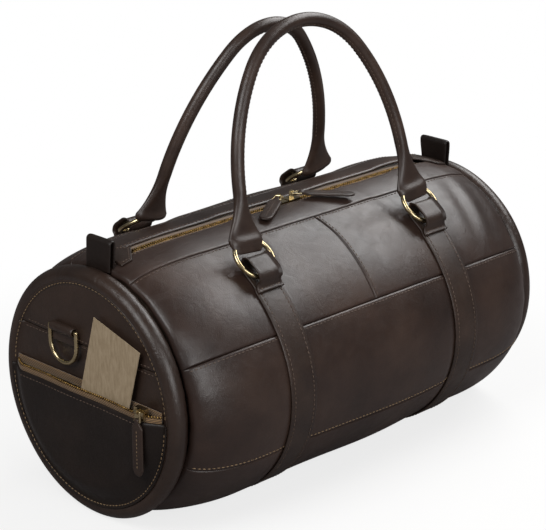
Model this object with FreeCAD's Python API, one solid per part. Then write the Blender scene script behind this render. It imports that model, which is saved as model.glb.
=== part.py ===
import FreeCAD
import Part
import math
import os

Vec = FreeCAD.Vector

# Body of the bag, a soft barrel that lies along X and sags onto a flat base
crown_radius = 141.0      # rounding of the front, top and back
crown_drop = 100.0        # centre of that rounding above the base
turn_angle = 67.0         # from the top, where the crown hands over to the lower curve
straight_half = 154.0     # half length with the full section
body_half = 226.0         # half length to the end seams
end_radius = 114.0        # outside of the body at the end seams
end_flat = 4.0            # half width of the flat that is left there
panel_leather = 3.0
shoulder_steps = (0.0, 0.5, 0.8, 0.95, 1.0)

# Seams of the body, as angles from the top
zip_edge_angle = 3.6
placket_angle = 17.6
middle_seam_angle = 59.0
base_seam_angle = 104.8

# Clearances
sewn_gap = 0.2            # between sewn layers
swing_gap = 0.3           # between pieces that move and what holds them
seat_gap = 0.3            # between a soft piece and its seat

# Padded rim and panel of each end
rim_radius = 108.4
rim_half_width = 9.6
rim_half_depth = 8.6
rim_lift = 0.5            # rim above the ground
disc_leather = 2.5
disc_setback = 3.5        # face of the panel behind the rim's outer edge
board_radius = 96.0
board_thickness = 3.0
end_seam_height = 46.0    # seam of the pocket end above the middle of the disc

# Carry straps, rings and loops
strap_place = 112.0       # middle of each strap from the middle of the bag
strap_width = 32.0
strap_leather = 2.4
strap_loop_angle = 37.5
ring_radius = 20.0
ring_wire = 2.2
front_ring_slope = 45.0   # rise of the rings towards the middle of the bag
back_ring_slope = 33.0
loop_length = 24.0
loop_leather = 2.2
fold_reach = 13.0         # strap fold beyond the ring, up the barrel

# Rolled handles
handle_radius = 6.2
handle_wall = 1.8
front_handle_rise = 179.0 # top of the handle above its loops, along its plane
back_handle_rise = 176.0
front_top_reach = 24.0    # top of the handle from the middle of the bag
back_top_reach = 15.0
leg_length = 48.0
front_leg_lean = 5.0
back_leg_lean = 12.0
front_crown_bend = 88.0   # radius over the top of the handle
back_crown_bend = 62.0
neck_width = 17.0         # half width of the flared end
neck_depth = 4.0
neck_taper = 0.92         # width that is left a third of the way up the flare
neck_turn = 0.7           # share of the change to round at two thirds

# Main zip
tape_thickness = 1.0
tape_edge_angle = 8.5
zip_end_inset = 22.0      # end of the zip inside the end seam
teeth_inner = 0.75
teeth_outer = 3.2
teeth_depth = 3.0
end_patch_lap = 15.0      # point of the patch over the end of the zip
end_patch_slant = 17.0
end_patch_inset = 8.5     # outer edge of the patch inside the end seam
end_patch_half = 21.0
end_patch_leather = 1.8
slider_length = 15.0
slider_width = 11.0
slider_plate = 1.6
slider_post = 1.0
left_slider_place = -3.0
right_slider_place = 14.0

# Pulls: an eye on the slider, a wire link and a leather tab
eye_height = 5.0          # pin above the top of the zip
eye_radius = 2.2
eye_width = 3.2
pin_radius = 0.9
link_length = 9.0
link_half_width = 3.6
tab_length = 48.0
tab_width = 13.0
tab_thickness = 2.4
tab_point = 9.0
tab_slope = 3.5
left_pull_heading = 212.0
right_pull_heading = -39.0

# Grab loops on top of the ends
grab_width = 28.0
grab_height = 25.0
grab_thickness = 7.0
grab_leather = 2.5

# Pocket on the left end
pocket_depth = 12.0
pocket_flat_radius = 90.0
pocket_foot_radius = 98.5
pocket_foot = 4.5
pocket_leather = 2.2
lip_height = 2.5          # lip of the pocket above the middle of the disc
pocket_zip_half = 87.0
pocket_tape = 0.8
pocket_tape_rise = 5.0
pocket_tape_sewn = 12.0
pocket_teeth = 3.0
pocket_teeth_thickness = 2.4
upper_tape_rise = 8.0     # upper row of teeth above the lip
upper_tape_width = 15.0
pocket_slider_length = 12.0
pocket_slider_drop = 1.0
pocket_slider_height = 11.0
pocket_slider_plate = 1.4
pocket_slider_place = -80.0

# Card that stands in the pocket
card_width = 62.0
card_length = 151.5
card_thickness = 0.6
card_lean = 15.6
card_corner_y = -16.0
card_foot_gap = 0.358     # lowest corner of the card inside the wall of the pocket
card_clear = 0.4          # behind the pocket slider

# D-rings and their loops
d_ring_wire = 2.0
d_ring_half = 18.0
d_ring_leg = 14.0
d_ring_y = 28.0
d_ring_height = 56.0      # bar above the middle of the disc
d_loop_leather = 2.4
d_loop_length = 31.0
d_loop_tongue = 13.0

# Lining and base board
lining_thickness = 0.8
lining_inset = 6.0        # end of the lining inside the end seam
mouth_angle = 9.0
base_board_width = 90.0
base_board_thickness = 3.0

# Places that follow from these sizes
body_lift = strap_leather + sewn_gap
body_z = body_lift + crown_drop
body_top = body_z + crown_radius
end_z = rim_radius + rim_half_depth + rim_lift
turn_cos = math.cos(math.radians(turn_angle))
turn_sin = math.sin(math.radians(turn_angle))
end_drop = end_radius - end_flat * (1 + turn_cos) / turn_sin
rim_x = body_half + seat_gap + rim_half_width
face_x = rim_x + rim_half_width - disc_setback
disc_radius = rim_radius - rim_half_depth - seat_gap
ring_sag = (ring_radius - math.sqrt(ring_radius ** 2 - (loop_length / 2) ** 2)) / 2
ring_seat = ring_radius - ring_sag
ring_inside = math.sqrt((ring_radius - ring_wire) ** 2 - (loop_length / 2) ** 2)
loop_bore = ring_seat - ring_inside + swing_gap
loop_outer = loop_bore + loop_leather
tape_top = panel_leather + sewn_gap
lining_top = panel_leather + seat_gap
teeth_sink = tape_top + tape_thickness / 2 - teeth_depth / 2
teeth_top_z = body_top - teeth_sink
zip_half = body_half - zip_end_inset
end_patch_point = zip_half - end_patch_lap
end_patch_shoulder = end_patch_point + end_patch_slant
end_patch_end = body_half - end_patch_inset
lining_half = body_half - lining_inset
grab_middle = body_half - grab_thickness / 2 - sewn_gap
left_zip_run = straight_half - slider_length / 2 + left_slider_place
right_zip_run = straight_half - slider_length / 2 - right_slider_place
lip_z = end_z + lip_height
pocket_front_x = face_x + pocket_depth
pocket_inner_x = pocket_front_x - pocket_leather
pocket_seat_x = face_x + sewn_gap
pocket_inner_flat = pocket_flat_radius - pocket_leather / 2
pocket_inner_foot = pocket_foot_radius - pocket_foot
d_axis_out = sewn_gap + d_ring_wire + swing_gap + d_loop_leather
lower_tape_x = pocket_front_x - pocket_leather - sewn_gap - pocket_tape / 2
pocket_pin_x = pocket_front_x + swing_gap + tab_thickness / 2 + pin_radius
left_reach = pocket_pin_x + max(eye_radius, tab_thickness / 2 + pin_radius)
right_reach = face_x + d_axis_out + d_ring_wire + swing_gap + d_loop_leather
shift_x = (left_reach - right_reach) / 2


def save(name, shape):
    shape.translated(Vec(shift_x, 0, 0)).exportStep("parts/%s.step" % name)


def mix(a, b, share):
    return a + (b - a) * share


def flip_x(shape):
    return shape.mirror(Vec(0, 0, 0), Vec(1, 0, 0))


def flip_y(shape):
    return shape.mirror(Vec(0, 0, 0), Vec(0, 1, 0))


def box(x0, x1, y0, y1, z0, z1):
    return Part.makeBox(x1 - x0, y1 - y0, z1 - z0, Vec(x0, y0, z0))


def rod(start, end, radius):
    along = end - start
    return Part.makeCylinder(radius, along.Length, start, along)


def prism(points, along):
    return Part.Face(Part.makePolygon(points + points[:1])).extrude(along)


# How far the section has closed from the full one, 0, to the end seam, 1
def ease_at(x):
    share = max(0.0, (abs(x) - straight_half) / (body_half - straight_half))
    return 1 - math.sqrt(max(0.0, 1 - min(1.0, share) ** 2))


# Outline at x: crown arc, two tighter lower arcs and a flat base, all grown by one amount
def section(x, grow):
    ease = ease_at(x)
    crown = mix(crown_radius, end_radius, ease)
    drop = mix(crown_drop, end_drop, ease)
    mid_z = mix(body_z, end_z, ease)
    low = (drop + crown * turn_cos) / (1 + turn_cos)
    side_y = (crown - low) * turn_sin
    side_z = mid_z + (crown - low) * turn_cos
    mid_turn = math.radians((turn_angle + 180) / 2)
    low_y = side_y + (low + grow) * math.sin(mid_turn)
    low_z = side_z + (low + grow) * math.cos(mid_turn)
    top = Vec(x, 0, mid_z + crown + grow)
    turn_y = (crown + grow) * turn_sin
    turn_z = mid_z + (crown + grow) * turn_cos
    foot_z = side_z - low - grow
    front_turn = Vec(x, -turn_y, turn_z)
    back_turn = Vec(x, turn_y, turn_z)
    front_foot = Vec(x, -side_y, foot_z)
    back_foot = Vec(x, side_y, foot_z)
    return Part.Wire([
        Part.Arc(back_turn, top, front_turn).toShape(),
        Part.Arc(front_turn, Vec(x, -low_y, low_z), front_foot).toShape(),
        Part.LineSegment(front_foot, back_foot).toShape(),
        Part.Arc(back_foot, Vec(x, low_y, low_z), back_turn).toShape(),
    ])


# Solid of the whole barrel, grown by one amount, with its ends carried on by a spare length
def barrel(grow, spare=0.0):
    places = [mix(straight_half, body_half, step) for step in shoulder_steps]
    if spare:
        places.append(body_half + spare)
    places = [-x for x in reversed(places)] + places
    return Part.makeLoft([section(x, grow) for x in places], True, True)


def skin(outer_grow, inner_grow):
    return barrel(outer_grow).cut(barrel(inner_grow, panel_leather))


def middle_of(half):
    return box(-half, half, -2 * crown_radius, 2 * crown_radius, 0, 2 * body_top)


# Slice between two angles from the top, towards the front, seen along X
def wedge(angle_0, angle_1, x0, x1):
    reach = 3 * crown_radius
    steps = 1 + int(abs(angle_1 - angle_0) / 45)
    points = [Vec(x0, 0, body_z)]
    for i in range(steps + 1):
        angle = math.radians(mix(angle_0, angle_1, i / steps))
        points.append(Vec(x0, -reach * math.sin(angle), body_z + reach * math.cos(angle)))
    return prism(points, Vec(x1 - x0, 0, 0))


# Point of the section plane at an angle from the top and a distance from the crown's centre
def polar(x, angle, radius):
    turn = math.radians(angle)
    return Vec(x, -radius * math.sin(turn), body_z + radius * math.cos(turn))


def make_panels():
    hide = skin(0, -panel_leather)
    full = body_half + panel_leather
    upper = hide.common(wedge(placket_angle, middle_seam_angle, -full, 0))
    lower = hide.common(wedge(middle_seam_angle, base_seam_angle, -full, full))
    placket = hide.common(wedge(zip_edge_angle, placket_angle, -full, full))
    base = hide.common(wedge(base_seam_angle, 360 - base_seam_angle, -full, full))
    save("front_upper_panel_left", upper)
    save("front_upper_panel_right", flip_x(upper))
    save("back_upper_panel_left", flip_y(upper))
    save("back_upper_panel_right", flip_x(flip_y(upper)))
    save("front_lower_panel", lower)
    save("back_lower_panel", flip_y(lower))
    save("front_placket", placket)
    save("back_placket", flip_y(placket))
    save("base_panel", base)


def make_lining():
    outer = barrel(-lining_top).common(middle_of(lining_half))
    inner = barrel(-lining_top - lining_thickness).common(middle_of(lining_half - lining_thickness))
    save("main_lining", outer.cut(inner).cut(wedge(-mouth_angle, mouth_angle, -zip_half, zip_half)))
    low = (crown_drop + crown_radius * turn_cos) / (1 + turn_cos)
    inner_low = low - lining_top - lining_thickness
    beyond = max(0.0, base_board_width / 2 - (crown_radius - low) * turn_sin)
    rise = inner_low - math.sqrt(inner_low ** 2 - beyond ** 2)
    board_z = body_lift + lining_top + lining_thickness + rise + sewn_gap
    half_y = base_board_width / 2
    board = box(-straight_half, straight_half, -half_y, half_y, board_z, board_z + base_board_thickness)
    save("base_board", board)


def make_main_zip():
    tapes = skin(-tape_top, -tape_top - tape_thickness)
    tape_radius = crown_radius - tape_top - tape_thickness
    tape_angle = math.degrees(math.asin((teeth_outer + sewn_gap) / tape_radius))
    tape = tapes.common(wedge(tape_angle, tape_edge_angle, -zip_half, zip_half))
    rows = skin(-teeth_sink, -teeth_sink - teeth_depth)
    row = rows.common(box(-zip_half, zip_half, -teeth_outer, -teeth_inner, body_z, body_top))
    save("front_zip_tape", tape)
    save("back_zip_tape", flip_y(tape))
    save("front_zip_teeth", row)
    save("back_zip_teeth", flip_y(row))
    patches = skin(sewn_gap + end_patch_leather, sewn_gap)
    outline = [
        Vec(-end_patch_point, 0, body_z),
        Vec(-end_patch_shoulder, end_patch_half, body_z),
        Vec(-end_patch_end, end_patch_half, body_z),
        Vec(-end_patch_end, -end_patch_half, body_z),
        Vec(-end_patch_shoulder, -end_patch_half, body_z),
    ]
    patch = patches.common(prism(outline, Vec(0, 0, 2 * crown_radius)))
    save("zip_end_patch_left", patch)
    save("zip_end_patch_right", flip_x(patch))


# Zip slider with its eye, two plates and a post between the rows of teeth
def make_slider(place):
    half_x = slider_length / 2
    half_y = slider_width / 2
    top_z = teeth_top_z + swing_gap
    low_z = teeth_top_z - teeth_depth - swing_gap
    pin_z = body_top + eye_height
    slider = box(-half_x, half_x, -half_y, half_y, top_z, top_z + slider_plate)
    slider = slider.fuse(box(-half_x, half_x, -half_y, half_y, low_z - slider_plate, low_z))
    half_post = slider_post / 2
    slider = slider.fuse(box(-half_x, 0, -half_post, half_post, low_z - slider_plate, top_z + slider_plate))
    slider = slider.translated(Vec(place, 0, 0))
    return slider, Vec(place, 0, pin_z), top_z + slider_plate


# Eye for the link's pin: a round boss on a block that stands on the slider
def add_eye(slider, pin, axis, foot_point):
    half = axis * (eye_width / 2)
    down = foot_point - pin
    across = axis.cross(down)
    across.normalize()
    side = across * eye_radius
    eye = rod(pin - half, pin + half, eye_radius)
    block = prism([pin - half - side, pin - half + side, foot_point - half + side, foot_point - half - side], half * 2)
    hole = rod(pin - half * 2, pin + half * 2, pin_radius + swing_gap / 3)
    return slider.fuse(block).fuse(eye).cut(hole).removeSplitter()


# Wire link through the eye and a pointed leather tab looped on its far bar
def make_pull(pin, heading, axis):
    side = axis * link_half_width
    up = axis.cross(heading) * -1
    far = pin + heading * link_length
    corners = [pin - side, pin + side, far + side, far - side]
    link = Part.makeSphere(pin_radius, corners[0])
    for i in range(4):
        link = link.fuse(rod(corners[i], corners[(i + 1) % 4], pin_radius))
        link = link.fuse(Part.makeSphere(pin_radius, corners[i]))
    half_loop = axis * (link_half_width - pin_radius - swing_gap)
    wrap_radius = pin_radius + tab_thickness / 2
    wrap = rod(far - half_loop, far + half_loop, wrap_radius)
    start = far + heading * (pin_radius + swing_gap)
    neck = start + heading * (pin_radius + wrap_radius)
    end = neck + heading * tab_length
    shoulder = end - heading * tab_point
    half_tab = axis * (tab_width / 2)
    down = up * (-tab_thickness / 2)
    outline = [start - half_loop, neck - half_tab, shoulder - half_tab, end - half_loop]
    outline += [end + half_loop, shoulder + half_tab, neck + half_tab, start + half_loop]
    tab = prism([point + down for point in outline], up * tab_thickness).fuse(wrap)
    tab = tab.cut(rod(far - side, far + side, pin_radius + swing_gap / 3))
    return link.removeSplitter(), tab.removeSplitter()


def make_main_pulls():
    pairs = (("left", left_slider_place, left_pull_heading), ("right", right_slider_place, right_pull_heading))
    for name, place, turn in pairs:
        slider, pin, foot_z = make_slider(place)
        flat = Vec(math.cos(math.radians(turn)), math.sin(math.radians(turn)), 0)
        axis = flat.cross(Vec(0, 0, 1))
        heading = flat * math.cos(math.radians(tab_slope)) - Vec(0, 0, math.sin(math.radians(tab_slope)))
        slider = add_eye(slider, pin, axis, Vec(place, 0, foot_z))
        link, tab = make_pull(pin, heading, axis)
        save("main_slider_" + name, slider)
        save("main_pull_link_" + name, link)
        save("main_pull_tab_" + name, tab)


def make_ends():
    long_half = max(rim_half_depth, rim_half_width)
    short_half = min(rim_half_depth, rim_half_width)
    profile = Part.Ellipse(Vec(-rim_x, 0, end_z + rim_radius), long_half, short_half)
    profile.Axis = Vec(0, 1, 0)
    profile.XAxis = Vec(1, 0, 0) if rim_half_width > rim_half_depth else Vec(0, 0, 1)
    ring = Part.Face(Part.Wire(profile.toShape()))
    rim = ring.revolve(Vec(-rim_x, 0, end_z), Vec(1, 0, 0), 360)
    disc = Part.makeCylinder(disc_radius, disc_leather, Vec(-face_x, 0, end_z), Vec(1, 0, 0))
    board_x = face_x - disc_leather - sewn_gap
    board = Part.makeCylinder(board_radius, board_thickness, Vec(-board_x, 0, end_z), Vec(1, 0, 0))
    reach = 2 * disc_radius
    seam_z = end_z + end_seam_height
    above = box(-2 * face_x, 0, -reach, reach, seam_z, seam_z + reach)
    save("end_rim_left", rim)
    save("end_rim_right", flip_x(rim))
    save("end_panel_left", disc.common(above))
    save("pocket_back_panel", disc.cut(above))
    save("end_panel_right", flip_x(disc))
    save("end_board_left", board)
    save("end_board_right", flip_x(board))


def make_grab_loops():
    top_z = section(grab_middle, 0).BoundBox.ZMax
    foot_z = end_z + end_radius
    turn_z = top_z + seat_gap + grab_height - grab_thickness / 2
    half = grab_thickness / 2
    bend = half - grab_leather
    outer = box(-half, half, -grab_width / 2, grab_width / 2, foot_z, turn_z)
    start = Vec(0, -grab_width / 2, turn_z)
    outer = outer.fuse(Part.makeCylinder(half, grab_width, start, Vec(0, 1, 0)))
    inner = box(-bend, bend, -grab_width, grab_width, foot_z, turn_z)
    start = Vec(0, -grab_width, turn_z)
    inner = inner.fuse(Part.makeCylinder(bend, 2 * grab_width, start, Vec(0, 1, 0)))
    loop = outer.cut(inner).removeSplitter().translated(Vec(-grab_middle, 0, 0)).cut(barrel(seat_gap))
    save("grab_loop_left", loop)
    save("grab_loop_right", flip_x(loop))


# Axis of the strap loop
strap_axis = polar(0, strap_loop_angle, crown_radius + sewn_gap + loop_outer)


# Rings and handle of one side: the ring stands on the strap loop, and the handle's plane, with x across the bag
# and h up from the loops, leans in over the middle
class Rig:
    def __init__(self, slope, rise, top_reach, leg_lean, crown_bend):
        self.rise = rise
        self.leg_lean = math.radians(leg_lean)
        self.crown_bend = crown_bend
        self.along = Vec(0, math.cos(math.radians(slope)), math.sin(math.radians(slope)))
        self.ring_middle = strap_axis + self.along * ring_seat
        self.axis = strap_axis + self.along * (2 * ring_seat)
        lean = math.asin((-self.axis.y - top_reach) / rise)
        self.up = Vec(0, math.sin(lean), math.cos(lean))
        self.normal = Vec(1, 0, 0).cross(self.up)

    def at(self, x, h):
        return Vec(x, self.axis.y, self.axis.z) + self.up * h


front_rig = Rig(front_ring_slope, front_handle_rise, front_top_reach, front_leg_lean, front_crown_bend)
back_rig = Rig(back_ring_slope, back_handle_rise, back_top_reach, back_leg_lean, back_crown_bend)


# Tube that a fold of leather makes round a ring, drawn out by a reach
def fold(middle, half_length, radius, reach):
    half = Vec(half_length, 0, 0)
    tube = rod(middle - half, middle + half, radius)
    if reach.Length > 0:
        side = Vec(1, 0, 0).cross(reach)
        side.normalize()
        low = middle - half - side * radius
        high = middle - half + side * radius
        tube = tube.fuse(rod(middle + reach - half, middle + reach + half, radius))
        tube = tube.fuse(prism([low, high, high + reach, low + reach], half * 2))
    return tube


def make_straps():
    half = strap_width / 2
    outer = Part.Face(section(0, sewn_gap + strap_leather)).extrude(Vec(strap_width, 0, 0))
    inner = Part.Face(section(0, sewn_gap)).extrude(Vec(strap_width, 0, 0))
    band = outer.cut(inner).translated(Vec(-half, 0, 0))
    band = band.common(wedge(strap_loop_angle, 360 - strap_loop_angle, -strap_width, strap_width))
    turn = math.radians(strap_loop_angle)
    reach = Vec(0, math.cos(turn), math.sin(turn)) * fold_reach
    tube = fold(strap_axis, loop_length / 2, loop_outer, reach)
    bore = fold(strap_axis, loop_length, loop_bore, reach)
    strap = band.fuse(tube).fuse(flip_y(tube)).cut(bore).cut(flip_y(bore)).removeSplitter()
    save("carry_strap_left", strap.translated(Vec(-strap_place, 0, 0)))
    save("carry_strap_right", strap.translated(Vec(strap_place, 0, 0)))


def make_ring(rig):
    normal = Vec(1, 0, 0).cross(rig.along)
    return Part.makeTorus(ring_radius, ring_wire, rig.ring_middle, normal).translated(Vec(-strap_place, 0, 0))


def make_rings():
    front = make_ring(front_rig)
    back = flip_y(make_ring(back_rig))
    save("ring_front_left", front)
    save("ring_front_right", flip_x(front))
    save("ring_back_left", back)
    save("ring_back_right", flip_x(back))


# Arch of three tangent arcs over straight legs that lean in
def handle_path(rig):
    lean = rig.leg_lean
    bend = rig.crown_bend
    leg_x = strap_place - leg_length * math.sin(lean)
    leg_h = leg_length * math.cos(lean)
    top_h = rig.rise - bend
    out_x = math.cos(lean)
    out_h = math.sin(lean)
    gap_h = leg_h - top_h
    along = leg_x * out_x + gap_h * out_h
    side_bend = (leg_x ** 2 + gap_h ** 2 - bend ** 2) / (2 * (along - bend))
    side_x = leg_x - side_bend * out_x
    side_h = leg_h - side_bend * out_h
    meet = math.atan2(top_h - side_h, -side_x)
    middle = (lean + meet) / 2
    meet_x = bend * math.cos(meet)
    meet_h = top_h + bend * math.sin(meet)
    mid_x = side_x + side_bend * math.cos(middle)
    mid_h = side_h + side_bend * math.sin(middle)
    right_arc = Part.Arc(rig.at(leg_x, leg_h), rig.at(mid_x, mid_h), rig.at(meet_x, meet_h))
    top_arc = Part.Arc(rig.at(meet_x, meet_h), rig.at(0, rig.rise), rig.at(-meet_x, meet_h))
    left_arc = Part.Arc(rig.at(-meet_x, meet_h), rig.at(-mid_x, mid_h), rig.at(-leg_x, leg_h))
    return Part.Wire([right_arc.toShape(), top_arc.toShape(), left_arc.toShape()])


def tube_along(path, radius):
    first = path.Edges[0]
    start = first.valueAt(first.FirstParameter)
    heading = first.tangentAt(first.FirstParameter)
    ring = Part.Wire(Part.Circle(start, heading, radius).toShape())
    return path.makePipeShell([ring], True, False)


# Flared end: ellipses that widen from the rolled leg to the flat fold on the ring
def handle_neck(rig):
    leg = Vec(-math.sin(rig.leg_lean), 0, 0) + rig.up * math.cos(rig.leg_lean)
    across = rig.normal.cross(leg)
    foot = rig.at(strap_place, 0)
    middle_width = mix(neck_width, handle_radius, neck_turn)
    middle_depth = mix(neck_depth, handle_radius, neck_turn)
    stations = (
        (loop_bore / 2, neck_width, neck_depth),
        (leg_length / 3, neck_width * neck_taper, neck_depth),
        (leg_length * 2 / 3, middle_width, middle_depth),
        (leg_length, handle_radius, handle_radius),
    )
    wires = []
    for along, width, depth in stations:
        if width > depth:
            oval = Part.Ellipse(foot + leg * along, width, depth)
        else:
            oval = Part.Circle(foot + leg * along, leg, width)
        oval.Axis = leg
        oval.XAxis = across
        wires.append(Part.Wire(oval.toShape()))
    return Part.makeLoft(wires, True, False)


def make_handle(rig):
    path = handle_path(rig)
    core_radius = handle_radius - handle_wall
    grip = tube_along(path, handle_radius).cut(tube_along(path, core_radius))
    core = tube_along(path, core_radius - sewn_gap)
    seat = rig.at(strap_place, 0)
    end = handle_neck(rig).fuse(fold(seat, loop_length / 2, loop_outer, Vec()))
    end = end.cut(fold(seat, loop_length, loop_bore, Vec()))
    return grip.fuse(end).fuse(flip_x(end)).removeSplitter(), core


def make_handles():
    handle, core = make_handle(front_rig)
    save("handle_front", handle)
    save("handle_cord_front", core)
    handle, core = make_handle(back_rig)
    save("handle_back", flip_y(handle))
    save("handle_cord_back", flip_y(core))


# Front of the end pocket: a shallow pan that stands off the end, cut level at the lip
def make_pocket():
    outer_x = -pocket_front_x
    inner_x = -pocket_inner_x
    seat_x = -pocket_seat_x
    foot_x = seat_x - pocket_leather
    outline = [
        Vec(outer_x, 0, end_z),
        Vec(outer_x, 0, end_z + pocket_flat_radius),
        Vec(foot_x, 0, end_z + pocket_foot_radius),
        Vec(seat_x, 0, end_z + pocket_foot_radius),
        Vec(seat_x, 0, end_z + pocket_inner_foot),
        Vec(inner_x, 0, end_z + pocket_inner_flat),
        Vec(inner_x, 0, end_z),
    ]
    pan = Part.Face(Part.makePolygon(outline + outline[:1])).revolve(Vec(0, 0, end_z), Vec(1, 0, 0), 360)
    reach = 2 * pocket_foot_radius
    save("pocket_front_panel", pan.cut(box(-2 * face_x, 0, -reach, reach, lip_z, lip_z + reach)))

    half = pocket_zip_half
    tape_x = -lower_tape_x
    half_tape = pocket_tape / 2
    half_teeth = pocket_teeth_thickness / 2
    teeth_z = lip_z + pocket_tape_rise
    lower = box(tape_x - half_tape, tape_x + half_tape, -half, half, lip_z - pocket_tape_sewn, teeth_z)
    lower_teeth = box(tape_x - half_teeth, tape_x + half_teeth, -half, half, teeth_z, teeth_z + pocket_teeth)
    upper_z = lip_z + upper_tape_rise
    upper_x = -face_x - sewn_gap
    tape_low = upper_z + pocket_teeth
    upper = box(upper_x - pocket_tape, upper_x, -half, half, tape_low, tape_low + upper_tape_width)
    upper_teeth = box(upper_x - pocket_teeth_thickness, upper_x, -half, half, upper_z, tape_low)
    save("pocket_lower_tape", lower)
    save("pocket_lower_teeth", lower_teeth)
    save("pocket_upper_tape", upper)
    save("pocket_upper_teeth", upper_teeth)


# Pocket slider: a hook over the lower row of teeth, with an eye on its front
def make_pocket_slider():
    half = pocket_slider_length / 2
    clear = pocket_teeth_thickness / 2 + swing_gap
    thick = clear + pocket_slider_plate
    low_z = lip_z + pocket_slider_drop
    high_z = low_z + pocket_slider_height
    teeth_z = lip_z + pocket_tape_rise + pocket_teeth + swing_gap
    slider = box(-lower_tape_x - thick, -lower_tape_x + thick, -half, half, low_z, high_z)
    slider = slider.cut(box(-lower_tape_x - clear, -lower_tape_x + clear, -half, half, low_z, teeth_z))
    slider = slider.translated(Vec(0, pocket_slider_place, 0))
    pin_z = high_z - eye_radius
    pin = Vec(-pocket_pin_x, pocket_slider_place, pin_z)
    axis = Vec(0, 1, 0)
    foot = Vec(-lower_tape_x - thick + pocket_slider_plate / 2, pocket_slider_place, pin_z)
    slider = add_eye(slider, pin, axis, foot)
    link, tab = make_pull(pin, Vec(0, 0, -1), axis)
    save("pocket_slider", slider)
    save("pocket_pull_link", link)
    save("pocket_pull_tab", tab)
    return -lower_tape_x + thick


# Card that stands with its lowest corner on the wall of the pocket
def make_card(slider_back_x):
    lean = math.radians(card_lean)
    down = Vec(0, math.sin(lean), -math.cos(lean))
    across = Vec(0, -math.cos(lean), -math.sin(lean))
    face = slider_back_x + card_clear
    wall_share = (pocket_inner_x + face) / (pocket_inner_x - pocket_seat_x)
    reach = mix(pocket_inner_flat, pocket_inner_foot, wall_share) - card_foot_gap
    foot_y = card_corner_y - card_width * math.cos(lean) + card_length * math.sin(lean)
    foot = Vec(face, foot_y, end_z - math.sqrt(reach ** 2 - foot_y ** 2))
    points = [foot, foot - down * card_length]
    points += [foot - down * card_length - across * card_width, foot - across * card_width]
    save("pocket_card", prism(points, Vec(card_thickness, 0, 0)))


def make_d_rings():
    axis_x = -face_x - d_axis_out
    axis_z = end_z + d_ring_height
    left = Vec(axis_x, d_ring_y - d_ring_half, axis_z)
    right = Vec(axis_x, d_ring_y + d_ring_half, axis_z)
    drop = Vec(0, 0, -d_ring_leg)
    ring = rod(left, right, d_ring_wire)
    for corner in (left, right):
        ring = ring.fuse(Part.makeSphere(d_ring_wire, corner)).fuse(rod(corner, corner + drop, d_ring_wire))
    bow = Part.makeCircle(d_ring_wire, left + drop, Vec(0, 0, 1))
    bow = Part.Face(Part.Wire(bow)).revolve(Vec(axis_x, d_ring_y, axis_z) + drop, Vec(1, 0, 0), 180)
    ring = ring.fuse(bow).removeSplitter()
    half = Vec(0, d_loop_length / 2, 0)
    middle = Vec(axis_x, d_ring_y, axis_z)
    bore = d_ring_wire + swing_gap
    loop = rod(middle - half, middle + half, bore + d_loop_leather)
    tongue_x = -face_x - sewn_gap
    low_z = axis_z - d_loop_tongue
    half_y = d_loop_length / 2
    tongue = box(tongue_x - d_loop_leather, tongue_x, d_ring_y - half_y, d_ring_y + half_y, low_z, axis_z)
    loop = loop.fuse(tongue).cut(rod(middle - half * 2, middle + half * 2, bore)).removeSplitter()
    save("d_ring_left", ring)
    save("d_ring_right", flip_x(ring))
    save("d_ring_loop_left", loop)
    save("d_ring_loop_right", flip_x(loop))


os.makedirs("parts", exist_ok=True)
make_panels()
make_lining()
make_main_zip()
make_main_pulls()
make_ends()
make_grab_loops()
make_straps()
make_rings()
make_handles()
make_pocket()
make_card(make_pocket_slider())
make_d_rings()
print("shift_x %.3f" % shift_x)
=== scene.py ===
import bpy
import bmesh
import math
import numpy as np
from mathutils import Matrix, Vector


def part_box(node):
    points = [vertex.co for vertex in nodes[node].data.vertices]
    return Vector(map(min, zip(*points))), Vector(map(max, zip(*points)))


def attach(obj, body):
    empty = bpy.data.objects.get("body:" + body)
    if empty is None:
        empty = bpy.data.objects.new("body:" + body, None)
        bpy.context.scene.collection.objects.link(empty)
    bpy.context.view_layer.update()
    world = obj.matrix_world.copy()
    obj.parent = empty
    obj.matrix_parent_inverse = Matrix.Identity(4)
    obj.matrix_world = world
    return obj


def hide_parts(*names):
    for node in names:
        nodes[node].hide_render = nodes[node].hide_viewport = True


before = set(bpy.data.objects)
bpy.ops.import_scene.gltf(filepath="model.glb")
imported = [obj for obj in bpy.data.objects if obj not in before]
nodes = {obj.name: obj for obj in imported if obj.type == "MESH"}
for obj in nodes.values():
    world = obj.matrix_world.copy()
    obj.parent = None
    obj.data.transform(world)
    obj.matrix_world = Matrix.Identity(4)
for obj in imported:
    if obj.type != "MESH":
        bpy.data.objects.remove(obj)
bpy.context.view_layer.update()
print("frame loaded:", len(nodes), "solids")

# sizes of the bag in millimetres, as the solids have them; meshes are written in metres
bag = {
    "midX": 500 * sum(corner.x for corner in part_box("front_placket")),
    "crown": 141.0, "drop": 100.0, "turn": math.radians(67), "straight": 154.0, "half": 226.0,
    "endRadius": 114.0, "endFlat": 4.0, "lift": 2.6, "endZ": 117.5, "zipHalf": 204.0, "sewnGap": 0.2,
    "strapX": 112.0, "strapWidth": 32.0, "strapHide": 2.4, "loopAngle": math.radians(37.5), "loopRadius": 7.35,
    "foldReach": 13.0, "ringSeat": 18.0, "placket": 17.6, "middle": 59.0, "base": 104.8, "zipEdge": 3.6,
}
bodyZ = bag["lift"] + bag["drop"]
turnSin, turnCos = math.sin(bag["turn"]), math.cos(bag["turn"])
axisX, axisY, axisZ = np.eye(3)
endDrop = bag["endRadius"] - bag["endFlat"] * (1 + turnCos) / turnSin


def mix(a, b, share):
    return a + (b - a) * share


def smooth(edge0, edge1, value):
    t = np.clip((value - edge0) / (edge1 - edge0), 0, 1)
    return t * t * (3 - 2 * t)


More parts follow.
